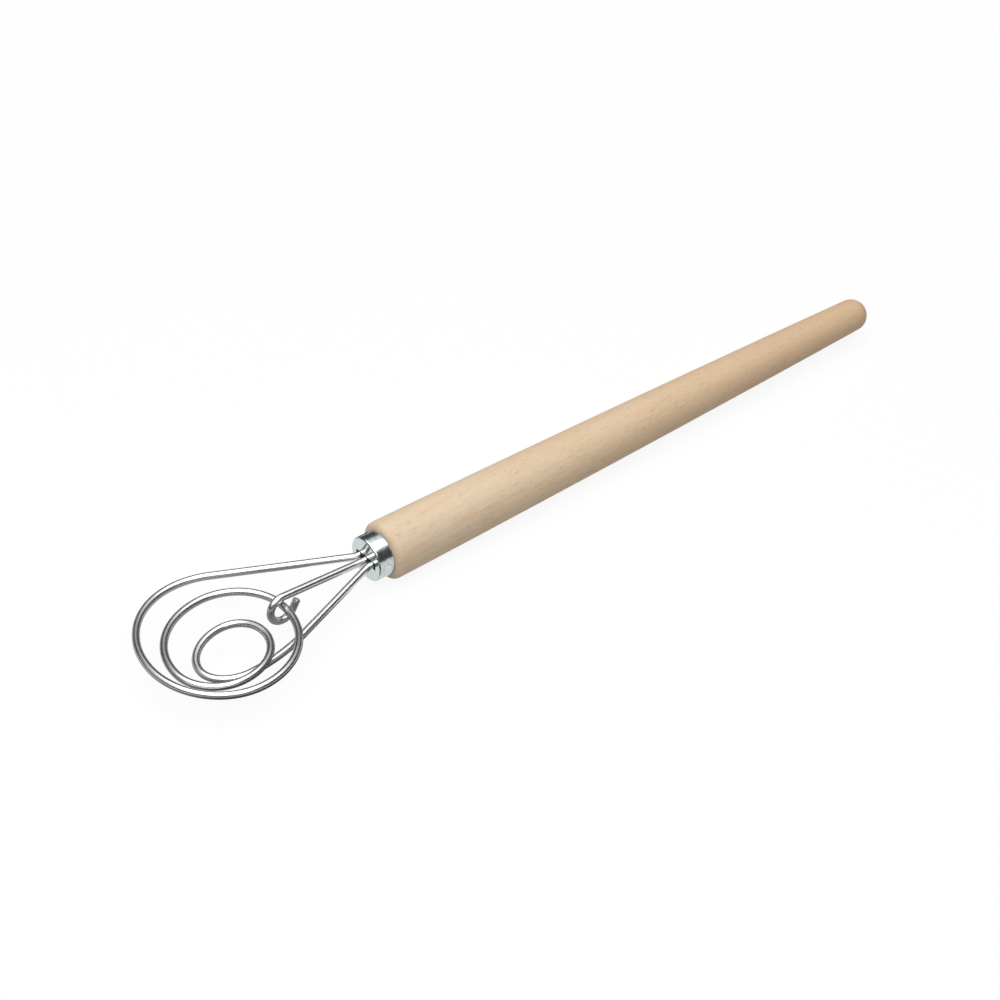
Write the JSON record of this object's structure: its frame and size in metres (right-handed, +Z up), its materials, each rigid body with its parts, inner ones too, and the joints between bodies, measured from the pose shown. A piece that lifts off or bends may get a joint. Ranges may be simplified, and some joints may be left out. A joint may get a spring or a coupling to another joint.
{
  "type": "dough whisk",
  "caption": "Dough whisk: a long turned wooden handle, a slotted steel ferrule, a long wire wound into loops one inside another, and a middle wire with an open eye that holds them.",
  "frame": {"origin": "on the table under the middle of the whisk's length, on the line of its axis, with the handle's shoulder touching the table", "axes": "+X along the whisk towards the handle's tip, +Y across the loops away from the last strand, +Z up, square to the plane of the loops"},
  "size_m": [0.382, 0.0716, 0.0246],
  "materials": {
    "beech": "fine-sanded pale beech, bare, with faint lengthwise grain",
    "ferrule_steel": "bright plated steel, polished flat face, softly hazed side",
    "adhesive": "cured dark resin, dull",
    "wire_steel": "polished stainless steel wire"
  },
  "bodies": {
    "root": {"handle": "beech", "ferrule": "ferrule_steel", "adhesive_plug": "adhesive", "loop_wire": "wire_steel", "eye_wire": "wire_steel"}
  },
  "joints": []
}
